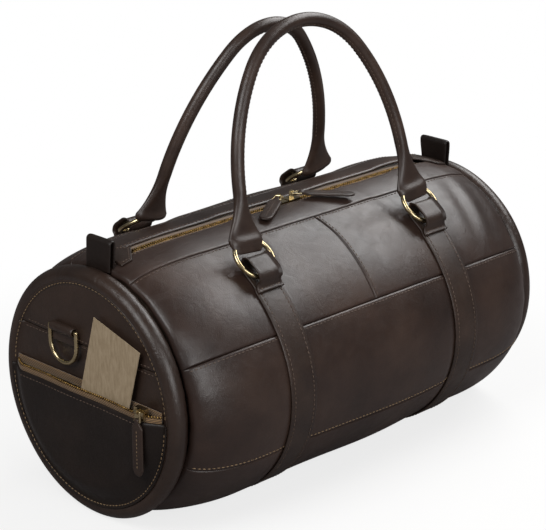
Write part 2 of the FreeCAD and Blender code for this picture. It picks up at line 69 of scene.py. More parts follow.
# object from points in millimetres and faces, shaded smooth
def newPiece(name, points, faces):
    mesh = bpy.data.meshes.new(name)
    mesh.from_pydata((points.reshape(-1, 3) * 0.001).tolist(), [], faces.tolist())
    mesh.shade_smooth()
    piece = bpy.data.objects.new(name, mesh)
    bpy.context.scene.collection.objects.link(piece)
    return piece


# mesh from a grid of points: each point joins the next in both directions, and a wrapped direction closes on itself
def gridMesh(name, points, wrapRows=False, wrapCols=False, flip=False):
    rows, cols = points.shape[:2]
    index = np.arange(rows * cols).reshape(rows, cols)
    if wrapRows:
        index = np.vstack([index, index[:1]])
    if wrapCols:
        index = np.hstack([index, index[:, :1]])
    quads = np.stack([index[:-1, :-1], index[:-1, 1:], index[1:, 1:], index[1:, :-1]], -1).reshape(-1, 4)
    piece = newPiece(name, points, quads[:, ::-1] if flip else quads)
    work = bmesh.new()
    work.from_mesh(piece.data)
    bmesh.ops.remove_doubles(work, verts=work.verts, dist=1e-6)
    if wrapCols:
        bmesh.ops.recalc_face_normals(work, faces=work.faces)  # a tube is closed, so its faces can turn outwards
    work.to_mesh(piece.data)
    work.free()
    piece.data.shade_smooth()
    return piece


# closed profile carried along a path: each ring is the path point plus profile x along side and profile y along out
def sweep(name, path, side, out, profile):
    rings = path[:, None] + side[:, None] * profile[..., :1] + out[:, None] * profile[..., 1:]
    first = np.broadcast_to(rings[:1].mean(1, keepdims=True), rings[:1].shape)
    last = np.broadcast_to(rings[-1:].mean(1, keepdims=True), rings[-1:].shape)
    return gridMesh(name, np.concatenate([first, rings, last]), wrapCols=True)


# even spacing along a line of points, by length
def respace(line, step):
    along = np.concatenate([[0], np.cumsum(np.linalg.norm(np.diff(line, axis=0), axis=1))])
    count = max(3, int(round(along[-1] / step)) + 1)
    where = np.linspace(0, along[-1], count)
    return np.stack([np.interp(where, along, line[:, k]) for k in range(line.shape[1])], -1)


def softened(line, passes):
    line = line.copy()
    for _ in range(passes):
        line[1:-1] = (line[:-2] + 2 * line[1:-1] + line[2:]) / 4
    return line


def unit(vectors):
    return vectors / np.maximum(np.linalg.norm(vectors, axis=-1, keepdims=True), 1e-9)


# flat strip with soft edges: a squared oval of the given width and thickness
def stripProfile(width, thick, count=40, square=7.0):
    angle = np.linspace(0, 2 * np.pi, count, endpoint=False)
    c, s = np.cos(angle), np.sin(angle)
    x = width / 2 * np.sign(c) * np.abs(c) ** (2 / square)
    y = thick / 2 * np.sign(s) * np.abs(s) ** (2 / 3.0)
    return np.stack([x, y], -1)


# copies of one small shape along a line, turned to the line's direction and the normal given
def copiesAlong(name, shape, faces, origins, along, normal):
    across = unit(np.cross(normal, along))
    normal = unit(np.cross(along, across))
    points = origins[:, None] + along[:, None] * shape[:, :1]
    points = points + across[:, None] * shape[:, 1:2] + normal[:, None] * shape[:, 2:]
    faceSet = (faces[None] + (np.arange(len(origins)) * len(shape))[:, None, None]).reshape(-1, faces.shape[1])
    return newPiece(name, points, faceSet)


# small pillow: rings of an oval that close at both ends, long in x, used for stitches and zip teeth
def pillow(length, width, height, around=6, rings=5, power=2.0):
    turn = np.linspace(0, 2 * np.pi, around, endpoint=False)
    t = np.linspace(-1, 1, rings)
    r = (1 - np.abs(t) ** power) ** 0.5 * 0.93 + 0.07
    x = np.repeat(t[:, None] * length / 2, around, 1)
    y = r[:, None] * np.cos(turn) * width / 2
    z = r[:, None] * np.sin(turn) * height / 2
    shape = np.stack([x, y, z], -1).reshape(-1, 3)
    index = np.arange(rings * around).reshape(rings, around)
    index = np.hstack([index, index[:, :1]])
    faces = np.stack([index[:-1, :-1], index[1:, :-1], index[1:, 1:], index[:-1, 1:]], -1).reshape(-1, 4)
    return shape, faces[:, ::-1]


# how far the section has closed, 0 over the straight middle and 1 at the end seam: a quarter of an ellipse
def easeAt(x):
    share = np.clip((np.abs(x) - bag["straight"]) / (bag["half"] - bag["straight"]), 0, 1)
    return 1 - np.sqrt(1 - share ** 2)


# distance from the barrel's axis to the section's outline, by angle from the top: crown arc, lower arc, flat base
angleGrid = np.linspace(0, np.pi, 721)
easeGrid = np.linspace(0, 1, 41)


def outlineRadius(ease):
    crown, drop = mix(bag["crown"], bag["endRadius"], ease), mix(bag["drop"], endDrop, ease)
    midZ = mix(bodyZ, bag["endZ"], ease)
    low = (drop + crown * turnCos) / (1 + turnCos)
    sideY, sideZ = (crown - low) * turnSin, midZ + (crown - low) * turnCos
    a, b, c = np.linspace(0, bag["turn"], 400), np.linspace(bag["turn"], np.pi, 400)[1:], np.linspace(1, 0, 60)[1:]
    y = np.concatenate([crown * np.sin(a), sideY + low * np.sin(b), sideY * c])
    z = np.concatenate([midZ + crown * np.cos(a), sideZ + low * np.cos(b), np.full(c.shape, sideZ - low)])
    return np.interp(angleGrid, np.arctan2(y, z - bodyZ), np.hypot(y, z - bodyZ))


radiusTable = np.array([outlineRadius(e) for e in easeGrid])


def bodyRadius(x, phi):
    folded = np.abs((phi + np.pi) % (2 * np.pi) - np.pi)
    i = easeAt(x) * (len(easeGrid) - 1)
    j = folded / np.pi * (len(angleGrid) - 1)
    i0, j0 = np.minimum(i.astype(int), len(easeGrid) - 2), np.minimum(j.astype(int), len(angleGrid) - 2)
    fi, fj = i - i0, j - j0
    top = mix(radiusTable[i0, j0], radiusTable[i0, j0 + 1], fj)
    return mix(top, mix(radiusTable[i0 + 1, j0], radiusTable[i0 + 1, j0 + 1], fj), fi)


# soft unevenness of stuffed leather in millimetres: slow sine waves, a slack belly, slanting ripples by the far end,
# puckers at the end seams and a swell between the straps; places are millimetres along x and degrees from the top
softness = {
    "wave": 0.9, "swell": 0.5, "belly": 1.4, "bellyAt": 98, "bellyWide": 26, "pinch": 2.2, "pinchInset": 14,
    "ripple": 0.9, "rippleX": 186, "rippleXWide": 26, "rippleAt": 36, "rippleWide": 15, "rippleCrest": 190,
    "rippleLength": 33, "rippleSlant": 0.5, "rippleBack": 0.6, "pucker": 0.6, "puckerLength": 5.2, "puckerReach": 9,
    "heldWide": 20, "heldMore": 12,
}
seeded = np.random.default_rng(7)
waveSet = [(seeded.uniform(-1, 1) / 26, seeded.uniform(-1, 1) / 22, seeded.uniform(0, 6.28)) for _ in range(10)]


def slack(x, phi):
    s = softness
    arc = phi * bag["crown"]
    deg = np.degrees(np.abs((phi + np.pi) % (2 * np.pi) - np.pi))
    wave = sum(np.sin(kx * x + ka * arc + p) for kx, ka, p in waveSet) / 2
    belly = np.exp(-((deg - s["bellyAt"]) / s["bellyWide"]) ** 2) * (1 - easeAt(x))
    bend = x + s["rippleSlant"] * (deg - 30)
    ripple = np.cos((bend - s["rippleCrest"]) / s["rippleLength"] * 2 * np.pi)
    ripple = ripple * np.exp(-((bend - s["rippleX"]) / s["rippleXWide"]) ** 2)
    ripple = ripple * np.exp(-((deg - s["rippleAt"]) / s["rippleWide"]) ** 2)
    ripple = ripple * np.where(phi % (2 * np.pi) < np.pi, 1.0, s["rippleBack"])
    pucker = np.sin(arc / s["puckerLength"] + 1.3 * np.sin(arc / 31))
    pucker = pucker * np.exp(-(bag["half"] - np.abs(x)) / s["puckerReach"])
    between = np.clip(1 - (x / (bag["strapX"] - s["pinchInset"])) ** 2, 0, 1) * smooth(16, 34, deg)
    heldWide = s["heldWide"] + s["heldMore"] * smooth(45, 25, deg)
    held = np.exp(-((np.abs(x) - bag["strapX"]) / heldWide) ** 8)  # straps and rings hold the body to its line
    rest = smooth(155, 120, deg)  # and so does the ground
    total = s["wave"] * wave + s["belly"] * belly + s["ripple"] * ripple + s["pucker"] * pucker
    return (total + s["pinch"] * between + s["swell"]) * (1 - held) * rest


def bodyPoint(x, phi, lift=0.0):
    r = bodyRadius(x, phi) + slack(x, phi) + lift
    return np.stack([x + bag["midX"] + 0 * phi, -r * np.sin(phi), bodyZ + r * np.cos(phi)], -1)


# places from one edge to the other, close together at the edges where the leather rolls in
def edgeSpaced(low, high, roll, step):
    edge = np.array([0, 0.1, 0.25, 0.5, 0.75, 1.0, 1.5, 2.3]) * roll
    middle = np.linspace(low + 3.4 * roll, high - 3.4 * roll, max(2, int((high - low) / step)))
    return np.concatenate([low + edge, middle, high - edge[::-1]])


# quarter circle down at an edge: depth below the surface at a distance from the edge
def rolledEdge(distance, roll):
    d = np.minimum(distance, roll)
    return np.sqrt(np.maximum(roll ** 2 - (roll - d) ** 2, 0)) - roll


def hexColour(code):
    parts = [int(code[k:k + 2], 16) / 255 for k in (0, 2, 4)]
    return tuple(c / 12.92 if c <= 0.04045 else ((c + 0.055) / 1.055) ** 2.4 for c in parts) + (1.0,)


def setInputs(tree, node, inputs):
    for key, value in inputs.items():
        if isinstance(value, bpy.types.NodeSocket):
            tree.links.new(value, node.inputs[key])
        else:
            node.inputs[key].default_value = value


# adds one node with its settings, its inputs as values or links and, on a ramp of colours, its stops
def addNode(tree, kind, settings=None, inputs=None, stops=()):
    node = tree.nodes.new(kind)
    for key, value in (settings or {}).items():
        setattr(node, key, value)
    setInputs(tree, node, inputs or {})
    for _ in stops[2:]:
        node.color_ramp.elements.new(0.5)  # a ramp starts with two
    for k, (at, code) in enumerate(stops):
        node.color_ramp.elements[k].position = at
        node.color_ramp.elements[k].color = hexColour(code)
    return node


def newMaterial(name):
    material = bpy.data.materials.new(name)
    material.use_nodes = True
    tree = material.node_tree
    place = addNode(tree, "ShaderNodeTexCoord").outputs["Object"]
    return material, tree, tree.nodes["Principled BSDF"], place


# smooth full-grain cowhide, drum dyed and waxed: near-black brown, slow clouding, fine pores and creases, a soft sheen
def cowhide(name, tones, rough, gloss, cloudMm, poreMm, creaseMm, poreBump, creaseBump):
    material, tree, shader, place = newMaterial(name)
    cloud = addNode(tree, "ShaderNodeTexNoise", inputs={
        "Vector": place, "Scale": 1000 / cloudMm, "Detail": 4.0, "Roughness": 0.6})
    pores = addNode(tree, "ShaderNodeTexVoronoi", {"feature": "DISTANCE_TO_EDGE"}, {
        "Vector": place, "Scale": 1000 / poreMm})
    crease = addNode(tree, "ShaderNodeTexNoise", inputs={
        "Vector": place, "Scale": 1000 / creaseMm, "Detail": 6.0, "Roughness": 0.65, "Distortion": 1.2})
    tone = addNode(tree, "ShaderNodeValToRGB", inputs={"Fac": cloud.outputs["Fac"]},
                   stops=list(zip((0.3, 0.52, 0.75), tones)))
    worn = addNode(tree, "ShaderNodeMapRange", inputs={
        "Value": crease.outputs["Fac"], "From Min": 0.3, "From Max": 0.7,
        "To Min": rough - 0.06, "To Max": rough + 0.07})
    poreStep = addNode(tree, "ShaderNodeMapRange", inputs={
        "Value": pores.outputs["Distance"], "From Min": 0.0, "From Max": 0.18})
    grain = addNode(tree, "ShaderNodeBump", inputs={
        "Strength": poreBump, "Distance": 0.0004, "Height": poreStep.outputs["Result"]})
    relief = addNode(tree, "ShaderNodeBump", inputs={
        "Strength": creaseBump, "Distance": 0.002, "Height": crease.outputs["Fac"],
        "Normal": grain.outputs["Normal"]})
    setInputs(tree, shader, {
        "Base Color": tone.outputs["Color"], "Roughness": worn.outputs["Result"],
        "Normal": relief.outputs["Normal"], "Specular IOR Level": gloss})
    return material


# tones from dark to light, roughness, gloss, size of clouds, pores and creases in mm, bump of pores and of creases
hides = {
    "dark brown cowhide": (("251a16", "33251f", "43332b"), 0.36, 0.52, 90, 1.7, 16, 0.10, 0.16),
    "dark brown cowhide of the ends": (("261b16", "31241d", "3c2d25"), 0.42, 0.5, 70, 1.6, 12, 0.14, 0.20),
    "burnished strap leather": (("261b17", "33261f", "413129"), 0.40, 0.5, 50, 1.5, 9, 0.12, 0.14),
    # the pocket's hide is the ends' hide made darker and less glossy: painted shade for the pocket front and the grab
    # loops
    "pocket leather darkened as painted shade": (("18110e", "1f1713", "281e19"), 0.44, 0.36, 70, 1.6, 12, 0.14, 0.20),
    "padded rim leather": (("261b16", "31241d", "3c2d25"), 0.34, 0.55, 60, 1.6, 14, 0.12, 0.30),
    "rolled handle leather": (("2b1f1a", "382a23", "47362d"), 0.36, 0.55, 40, 1.5, 8, 0.10, 0.12),
}
bodyHide, endHide, strapHide, paintedShadeHide, rimHide, handleHide = (cowhide(name, *look) for name, look in hides.items())


# pale brass, cast and tumbled then polished: warm mirror with faint handling haze
def paleBrass():
    material, tree, shader, place = newMaterial("polished pale brass")
    haze = addNode(tree, "ShaderNodeTexNoise", inputs={"Vector": place, "Scale": 1000 / 6, "Detail": 5.0})
    rough = addNode(tree, "ShaderNodeMapRange", inputs={
        "Value": haze.outputs["Fac"], "To Min": 0.16, "To Max": 0.34})
    tone = addNode(tree, "ShaderNodeValToRGB", inputs={"Fac": haze.outputs["Fac"]},
                   stops=[(0.3, "b5a27a"), (0.7, "d2c29c")])
    setInputs(tree, shader, {
        "Base Color": tone.outputs["Color"], "Roughness": rough.outputs["Result"], "Metallic": 1.0})
    return material


# woven polyester zip tape: brown twill, drawn coarser than the real 0.4 mm thread so that it shows
def zipTape(name, dark, light):
    material, tree, shader, place = newMaterial(name)
    weft = addNode(tree, "ShaderNodeTexWave", {"wave_type": "BANDS", "bands_direction": "DIAGONAL"}, {
        "Vector": place, "Scale": 1000 / 4.2, "Distortion": 0.6})
    cloud = addNode(tree, "ShaderNodeTexNoise", inputs={"Vector": place, "Scale": 1000 / 18})
    mixed = addNode(tree, "ShaderNodeMix", {"data_type": "FLOAT"}, {
        "Factor": 0.35, "A": weft.outputs["Fac"], "B": cloud.outputs["Fac"]})
    tone = addNode(tree, "ShaderNodeValToRGB", inputs={"Fac": mixed.outputs["Result"]},
                   stops=[(0.2, dark), (0.8, light)])
    bump = addNode(tree, "ShaderNodeBump", inputs={
        "Strength": 0.4, "Distance": 0.0004, "Height": weft.outputs["Fac"]})
    setInputs(tree, shader, {
        "Base Color": tone.outputs["Color"], "Normal": bump.outputs["Normal"], "Roughness": 0.85, "Sheen Weight": 0.25})
    return material


# uncoated kraft board: warm tan with short darker fibres
def kraftBoard():
    material, tree, shader, place = newMaterial("kraft board")
    turned = addNode(tree, "ShaderNodeMapping", inputs={"Vector": place, "Scale": (1.0, 1.0, 0.25)})
    fibre = addNode(tree, "ShaderNodeTexNoise", inputs={
        "Vector": turned.outputs["Vector"], "Scale": 1000 / 2.5, "Detail": 6.0, "Roughness": 0.7})
    tone = addNode(tree, "ShaderNodeValToRGB", inputs={"Fac": fibre.outputs["Fac"]},
                   stops=[(0.25, "8d7a5e"), (0.55, "a8957a"), (0.8, "b8a68c")])
    setInputs(tree, shader, {"Base Color": tone.outputs["Color"], "Roughness": 0.8})
    return material


# one finish with a fine mottle: noise of a real size in millimetres through a ramp from dark to light
def mottled(name, grainMm, detail, stops, finish):
    material, tree, shader, place = newMaterial(name)
    grain = addNode(tree, "ShaderNodeTexNoise", inputs={"Vector": place, "Scale": 1000 / grainMm, "Detail": detail})
    tone = addNode(tree, "ShaderNodeValToRGB", inputs={"Fac": grain.outputs["Fac"]}, stops=stops)
    setInputs(tree, shader, {"Base Color": tone.outputs["Color"], **finish})
    return material


brass = paleBrass()
# stamped zip teeth of aged brass: duller and browner than the rings
toothBrass = mottled("aged brass teeth", 5, 3.0, [(0.35, "5d4729"), (0.7, "a5854f")],
                     {"Metallic": 1.0, "Roughness": 0.38})
tapeCloth = zipTape("brown woven zip tape", "4d3a26", "7d6140")
# waxed sewing thread of two twisted plies: mottled and half matt, dark on most seams and tan where stitches show
waxed, matt = {"Roughness": 0.6}, {"Roughness": 0.9}
seamThread = mottled("dark waxed thread", 1.2, 2.0, [(0.35, "46372d"), (0.65, "68564a")], waxed)
tanThread = mottled("tan waxed thread", 1.2, 2.0, [(0.35, "755f48"), (0.65, "9d8362")], waxed)
fadedThread = mottled("faded brown thread", 1.2, 2.0, [(0.35, "5a483a"), (0.65, "7d6856")], waxed)
card = kraftBoard()
# plain cotton lining and the boards and cords inside: matt and dull, hardly seen
liningCloth = mottled("cotton lining", 1.5, 4.0, [(0.35, "4a3c30"), (0.65, "5d4c3e")], matt)
stiffBoard = mottled("fibre board", 3, 4.0, [(0.35, "2a231e"), (0.65, "3a312a")], matt)
cordCotton = mottled("cotton cord", 2, 4.0, [(0.35, "b5a68c"), (0.65, "cfc2aa")], matt)
print("materials made")


def dress(piece, body, material, slotName, *replaced):
    piece.data.materials.clear()
    piece.data.materials.append(material)
    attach(piece, body)
    if replaced:
        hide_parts(*replaced)
    return piece


def thicken(piece, thickness):
    wall = piece.modifiers.new("hide", "SOLIDIFY")
    wall.thickness = thickness * 0.001
    wall.offset = -1.0
    return piece


stitch = {"pitch": 4.4, "length": 3.3, "width": 1.0, "height": 0.8, "proud": 0.15, "beside": 3.6, "besideZip": 3.0}


# a row of stitches: short pillows spaced by the pitch along a line that lies on the leather
def stitchRow(name, line, normal, body, thread, slotName="hide", pitch=None, closed=False):
    pitch = pitch or stitch["pitch"]
    joined = np.concatenate([line, normal], -1)
    if closed:
        joined = np.vstack([joined, joined[:1]])
    along = np.concatenate([[0], np.cumsum(np.linalg.norm(np.diff(joined[:, :3], axis=0), axis=1))])
    count = max(2, int(along[-1] / pitch))
    where = (np.arange(count) + 0.5) * along[-1] / count
    take = lambda at: np.stack([np.interp(at, along, joined[:, k]) for k in range(6)], -1)
    here, ahead, behind = take(where), take(np.minimum(where + 0.5, along[-1])), take(np.maximum(where - 0.5, 0))
    direction = unit(ahead[:, :3] - behind[:, :3])
    shape, faces = pillow(stitch["length"] * pitch / stitch["pitch"], stitch["width"], stitch["height"])
    return dress(copiesAlong(name, shape, faces, here[:, :3], direction, unit(here[:, 3:])), body, thread, slotName)


# panels of the body: a patch of the barrel between two seams, swollen in the middle and rolled in at every edge
panelLook = {"roll": 2.2, "step": 3.4, "hide": 1.6}
halfX, zipAt, placketAt, middleAt, baseAt = bag["half"], bag["zipEdge"], bag["placket"], bag["middle"], bag["base"]
panels = [  # node, ends along x, edges in degrees from the top
    ("front_upper_panel_left", (-halfX, 0), (placketAt, middleAt)),
    ("front_upper_panel_right", (0, halfX), (placketAt, middleAt)),
    ("back_upper_panel_left", (-halfX, 0), (-middleAt, -placketAt)),
    ("back_upper_panel_right", (0, halfX), (-middleAt, -placketAt)),
    ("front_lower_panel", (-halfX, halfX), (middleAt, baseAt)),
    ("back_lower_panel", (-halfX, halfX), (-baseAt, -middleAt)),
    ("front_placket", (-halfX, halfX), (zipAt, placketAt)),
    ("back_placket", (-halfX, halfX), (-placketAt, -zipAt)),
    ("base_panel", (-halfX, halfX), (baseAt, 360 - baseAt)),
]


def bodyPanel(node, xEnds, phiEnds):
    roll = panelLook["roll"]
    phiLow, phiHigh = np.radians(phiEnds)
    x = edgeSpaced(xEnds[0], xEnds[1], roll, panelLook["step"])
    arc = edgeSpaced(0, (phiHigh - phiLow) * bag["crown"], roll, panelLook["step"])
    gridX, gridArc = np.meshgrid(x, arc, indexing="ij")
    phi = phiLow + gridArc / bag["crown"]
    near = np.minimum(np.minimum(gridX - x[0], x[-1] - gridX), np.minimum(gridArc, arc[-1] - gridArc))
    points = bodyPoint(gridX, phi, rolledEdge(near, roll))
    piece = gridMesh(node + "_hide", points)
    return dress(thicken(piece, panelLook["hide"]), "bag", bodyHide, "hide", node)


for node, xEnds, phiEnds in panels:
    bodyPanel(node, xEnds, phiEnds)


# stitches beside the seams that run along the barrel, and beside the cross seam
def seamRow(name, x, phi, thread):
    normal = np.stack([0 * phi, -np.sin(phi), np.cos(phi)], -1)
    return stitchRow(name, bodyPoint(x, phi, stitch["proud"]), normal, "bag", thread)


longX = np.linspace(3 - halfX, halfX - 3, 240)
seams = [  # name, degrees from the top, millimetres from the seam to its row, thread
    ("placket", placketAt, stitch["beside"], seamThread), ("middle", middleAt, stitch["beside"], seamThread),
    ("base", baseAt, -stitch["beside"], tanThread), ("zip", zipAt, stitch["besideZip"], seamThread),
]
for label, sign in (("front", 1), ("back", -1)):
    for seam, degrees, beside, thread in seams:
        phi = np.full(longX.shape, sign * (math.radians(degrees) + beside / bag["crown"]))
        seamRow("%s_%s_stitches" % (label, seam), longX, phi, thread)
    crossPhi = sign * np.radians(np.linspace(placketAt + 1, middleAt - 1, 60))
    seamRow(label + "_cross_stitches", np.full(crossPhi.shape, stitch["beside"]), crossPhi, seamThread)
print("body panels and seams made")

# carry straps: a flat strip from the fold round the front ring, under the base, to the fold round the back ring
strapLook = {
    "fold": 6.2, "foldWidth": 28.0, "mouth": 2.4, "rowInset": 4.2, "groove": 0.28, "grooveWide": 0.9,
    "zigzag": 11.2, "zigzagHalf": 12.0, "zigzagOut": 2.55, "zigzagSway": 1.1, "zigzagPoints": 8, "zigzagPitch": 3.6,
    "lapUp": (-14.0, -11.0, -8.8, -7.3, -5.6, -3.0, 0.0, 4.5),  # lapped end: along the fold, and out from it
    "lapOut": (-3.9, -3.8, -2.6, 0.2, 3.2, 5.6, 6.4, 6.3),
}
loopSin, loopCos = math.sin(bag["loopAngle"]), math.cos(bag["loopAngle"])
loopOut = np.array([-loopSin, loopCos])  # away from the barrel
loopUp = np.array([loopCos, loopSin])  # up along it
strapAxis = np.array([0, bodyZ]) + (bag["crown"] + bag["sewnGap"] + bag["loopRadius"]) * loopOut


# line of the strap in y and z: lapped end, over the long fold that holds the ring, back under it, down the barrel
def strapLine():
    f = strapLook["fold"]
    turn = np.radians(np.linspace(90, -90, 40))
    up = np.concatenate([strapLook["lapUp"], bag["foldReach"] + f * np.cos(turn), [0.0]])
    out = np.concatenate([strapLook["lapOut"], f * np.sin(turn), [-f]])
    fold = strapAxis + up[:, None] * loopUp + out[:, None] * loopOut
    phi = np.linspace(bag["loopAngle"] + 0.03, np.pi, 160)
    r = bodyRadius(np.zeros(phi.shape), phi) + (bag["sewnGap"] + bag["strapHide"] / 2)
    band = np.stack([-r * np.sin(phi), bodyZ + r * np.cos(phi)], -1)
    front = softened(respace(np.vstack([fold, band]), 1.1), 5)
    back = front[::-1] * np.array([-1, 1])
    return np.vstack([front, back[1:]])


def carryStrap(label, sign):
    name, centre = "carry_strap_" + label, sign * bag["strapX"] + bag["midX"]
    yz = strapLine()
    path = np.column_stack([np.full(len(yz), centre), yz])
    side = np.broadcast_to(axisX, path.shape)
    out = -unit(np.cross(side, unit(np.gradient(path, axis=0))))
    x, y = stripProfile(bag["strapWidth"], bag["strapHide"], 64, 9.0).T
    inset = bag["strapWidth"] / 2 - strapLook["rowInset"]
    y = y - strapLook["groove"] * np.exp(-((np.abs(x) - inset) / strapLook["grooveWide"]) ** 2) * np.sign(y)
    fromAxis = yz * np.where(yz[:, :1] > 0, [-1, 1], [1, 1]) - strapAxis
    inFold = smooth(-13, -5, fromAxis @ loopUp)  # narrower round the ring, open at its mouths
    narrow = mix(1, strapLook["foldWidth"] / bag["strapWidth"], inFold)[:, None]
    opened = strapLook["mouth"] * (inFold * smooth(0, 3, fromAxis @ loopOut))[:, None]
    mouth = opened * np.abs(2 * x / bag["strapWidth"]) ** 8
    strap = sweep(name + "_leather", path, side, out, np.stack([x * narrow, y - mouth], -1))
    dress(strap, "bag", strapHide, "strap_hide", name)
    count = strapLook["zigzagPoints"]
    across = centre + np.linspace(-1, 1, count) * strapLook["zigzagHalf"]
    at = strapAxis - strapLook["zigzag"] * loopUp - strapLook["zigzagOut"] * loopOut
    sway = strapLook["zigzagSway"] * (np.arange(count) % 2 - 0.5)[:, None] * loopUp
    for face, flip in (("front", 1), ("back", -1)):
        line = np.column_stack([across, at + sway]) * np.array([1, flip, 1])
        normal = np.broadcast_to(np.array([0, flip * loopOut[0], loopOut[1]]), line.shape)
        stitchRow("%s_%s_zigzag" % (name, face), line, normal, "bag", fadedThread, "strap_hide",
                  strapLook["zigzagPitch"])
    phi = np.arctan2(-yz[:, 0], yz[:, 1] - bodyZ)
    top = int(np.argmin(phi[:len(phi) // 2]))
    start = top + int(np.argmax(phi[top:] > bag["loopAngle"] + 0.09))  # the rows begin below the fold
    shown = slice(start, len(path) - start)
    for row, beside in (("inner", -sign * inset), ("outer", sign * inset)):
        line = path[shown] + side[shown] * beside + out[shown] * (bag["strapHide"] / 2 - 0.1)
        stitchRow("%s_%s_stitches" % (name, row), line, out[shown], "bag", seamThread, "strap_hide")


carryStrap("left", -1)
carryStrap("right", 1)
print("carry straps made")

# rolled handles: a round roll with a sewn ridge inside the arch that flares like a bell over each ring
handleLook = {
    "leg": 48.0, "radius": 6.2, "flareWidth": 19.5, "flareDepth": 3.6, "flareFrom": 3.0, "flareReach": 41.0,
    "flarePower": 1.9, "bulb": 5.6, "bulbReach": 5.0, "ridge": 0.8, "drapeReach": 12.0, "gripFrom": 40.0,
    "rowTurn": 0.42, "rowProud": 0.05,
}
handleSides = {
    "front": {"sign": -1, "slope": 45.0, "rise": 180.4, "topReach": 24.0, "lean": math.radians(5), "bend": 88.0,
              "overRing": 11.0, "drape": 6.0},
    "back": {"sign": 1, "slope": 33.0, "rise": 177.4, "topReach": 15.0, "lean": math.radians(12), "bend": 62.0,
             "overRing": 5.0, "drape": 0.0},
}


# centre line in the handle's plane, x across and h up: straight leg, wide side arc, tight arc over the top, and down
def handleLine(arch):
    lean, leg, bend = arch["lean"], handleLook["leg"], arch["bend"]
    legX, legH = bag["strapX"] - leg * math.sin(lean), leg * math.cos(lean)
    topH = arch["rise"] - bend
    gap = legH - topH
    reach = legX * math.cos(lean) + gap * math.sin(lean)
    side = (legX ** 2 + gap ** 2 - bend ** 2) / (2 * (reach - bend))
    sideX, sideH = legX - side * math.cos(lean), legH - side * math.sin(lean)
    meet = math.atan2(topH - sideH, -sideX)
    d = np.linspace(-arch["overRing"], leg, 50)
    straight = np.stack([bag["strapX"] - d * math.sin(lean), d * math.cos(lean)], -1)
    a = np.linspace(lean, meet, 60)[1:]
    flank = np.stack([sideX + side * np.cos(a), sideH + side * np.sin(a)], -1)
    b = np.linspace(meet, math.pi / 2, 40)[1:]
    crown = np.stack([bend * np.cos(b), topH + bend * np.sin(b)], -1)
    half = np.vstack([straight, flank, crown])
    return np.vstack([half, half[-2::-1] * np.array([-1, 1])])


def rolledHandle(label):
    name, arch, look = "handle_" + label, handleSides[label], handleLook
    sign, slope, over = arch["sign"], math.radians(arch["slope"]), arch["overRing"]
    axis = strapAxis + 2 * bag["ringSeat"] * np.array([math.cos(slope), math.sin(slope)])
    tilt = math.asin((-axis[0] - arch["topReach"]) / arch["rise"])
    xh = respace(handleLine(arch), 1.0)
    up = np.array([0, -sign * math.sin(tilt), math.cos(tilt)])
    foot = np.array([bag["midX"], sign * -axis[0], axis[1]])
    path = foot + xh[:, :1] * axisX + xh[:, 1:] * up
    plane = np.broadcast_to(unit(np.cross(axisX, up)), path.shape)
    fromRing = np.hypot(bag["strapX"] - np.abs(xh[:, 0]), xh[:, 1]) * np.where(xh[:, 1] < 0, -1, 1)
    drape = np.clip((look["drapeReach"] - fromRing) / (look["drapeReach"] + over), 0, 1) ** 2
    drape = sign * arch["drape"] * drape * np.sign(plane[:, 1])  # the end leans out over the ring
    path = path + plane * drape[:, None]
    outward = unit(np.cross(plane, unit(np.gradient(path, axis=0))))
    # bell is 1 at the ring and 0 where the roll begins
    bell = np.clip(1 - (fromRing - look["flareFrom"]) / look["flareReach"], 0, 1) ** look["flarePower"]
    bulb = np.exp(-(fromRing / look["bulbReach"]) ** 2)  # leather doubled round the ring
    close = np.sqrt(np.clip(1 - (np.minimum(fromRing - 1, 0) / (over + 0.9)) ** 2, 0.02, 1))  # rounded end
    width = (mix(look["radius"], look["flareWidth"], bell) * (0.6 + 0.4 * close))[:, None]
    depth = mix(look["radius"], look["flareDepth"], np.sqrt(bell))
    depth = (mix(depth, look["bulb"], bulb) * close)[:, None]
    turn = np.linspace(0, 2 * np.pi, 44, endpoint=False)[None]
    inside = 0 if np.dot(outward[len(path) // 2], up) < 0 else np.pi
    away = np.abs((turn - inside + np.pi) % (2 * np.pi) - np.pi)
    ridge = np.exp(-(away / 0.2) ** 2) - 0.35 * np.exp(-((away - 0.5) / 0.2) ** 2)  # a sewn edge, hollow beside
    ridge = look["ridge"] * ridge * (1 - np.sqrt(bell)[:, None])
    power = mix(1.0, 0.62, bell)[:, None]  # flat flare with fuller corners
    c, s = np.cos(turn), np.sin(turn)
    profile = np.stack([np.sign(c) * np.abs(c) ** power * (width + ridge), s * (depth + ridge)], -1)
    dress(sweep(name + "_roll", path, outward, plane, profile), name, handleHide, "handle_hide", name)
    grip = fromRing > look["gripFrom"]
    insideSign = np.sign(math.cos(inside))
    for row, lean in (("a", look["rowTurn"]), ("b", -look["rowTurn"])):
        c, s = math.cos(lean) * insideSign, math.sin(lean)
        line = path + outward * c * (width + look["rowProud"]) + plane * s * (depth + look["rowProud"])
        normal = outward * c + plane * s
        stitchRow("%s_stitches_%s" % (name, row), line[grip], normal[grip], name, seamThread, "handle_hide")


rolledHandle("front")
rolledHandle("back")
print("handles made")

# padded rims: a stuffed roll round each end, an oval carried round a circle, finely gathered where it is sewn on
rimLook = {"radius": 108.4, "halfWidth": 9.6, "halfDepth": 8.6, "x": 235.9, "gather": 0.35, "fill": 0.8}


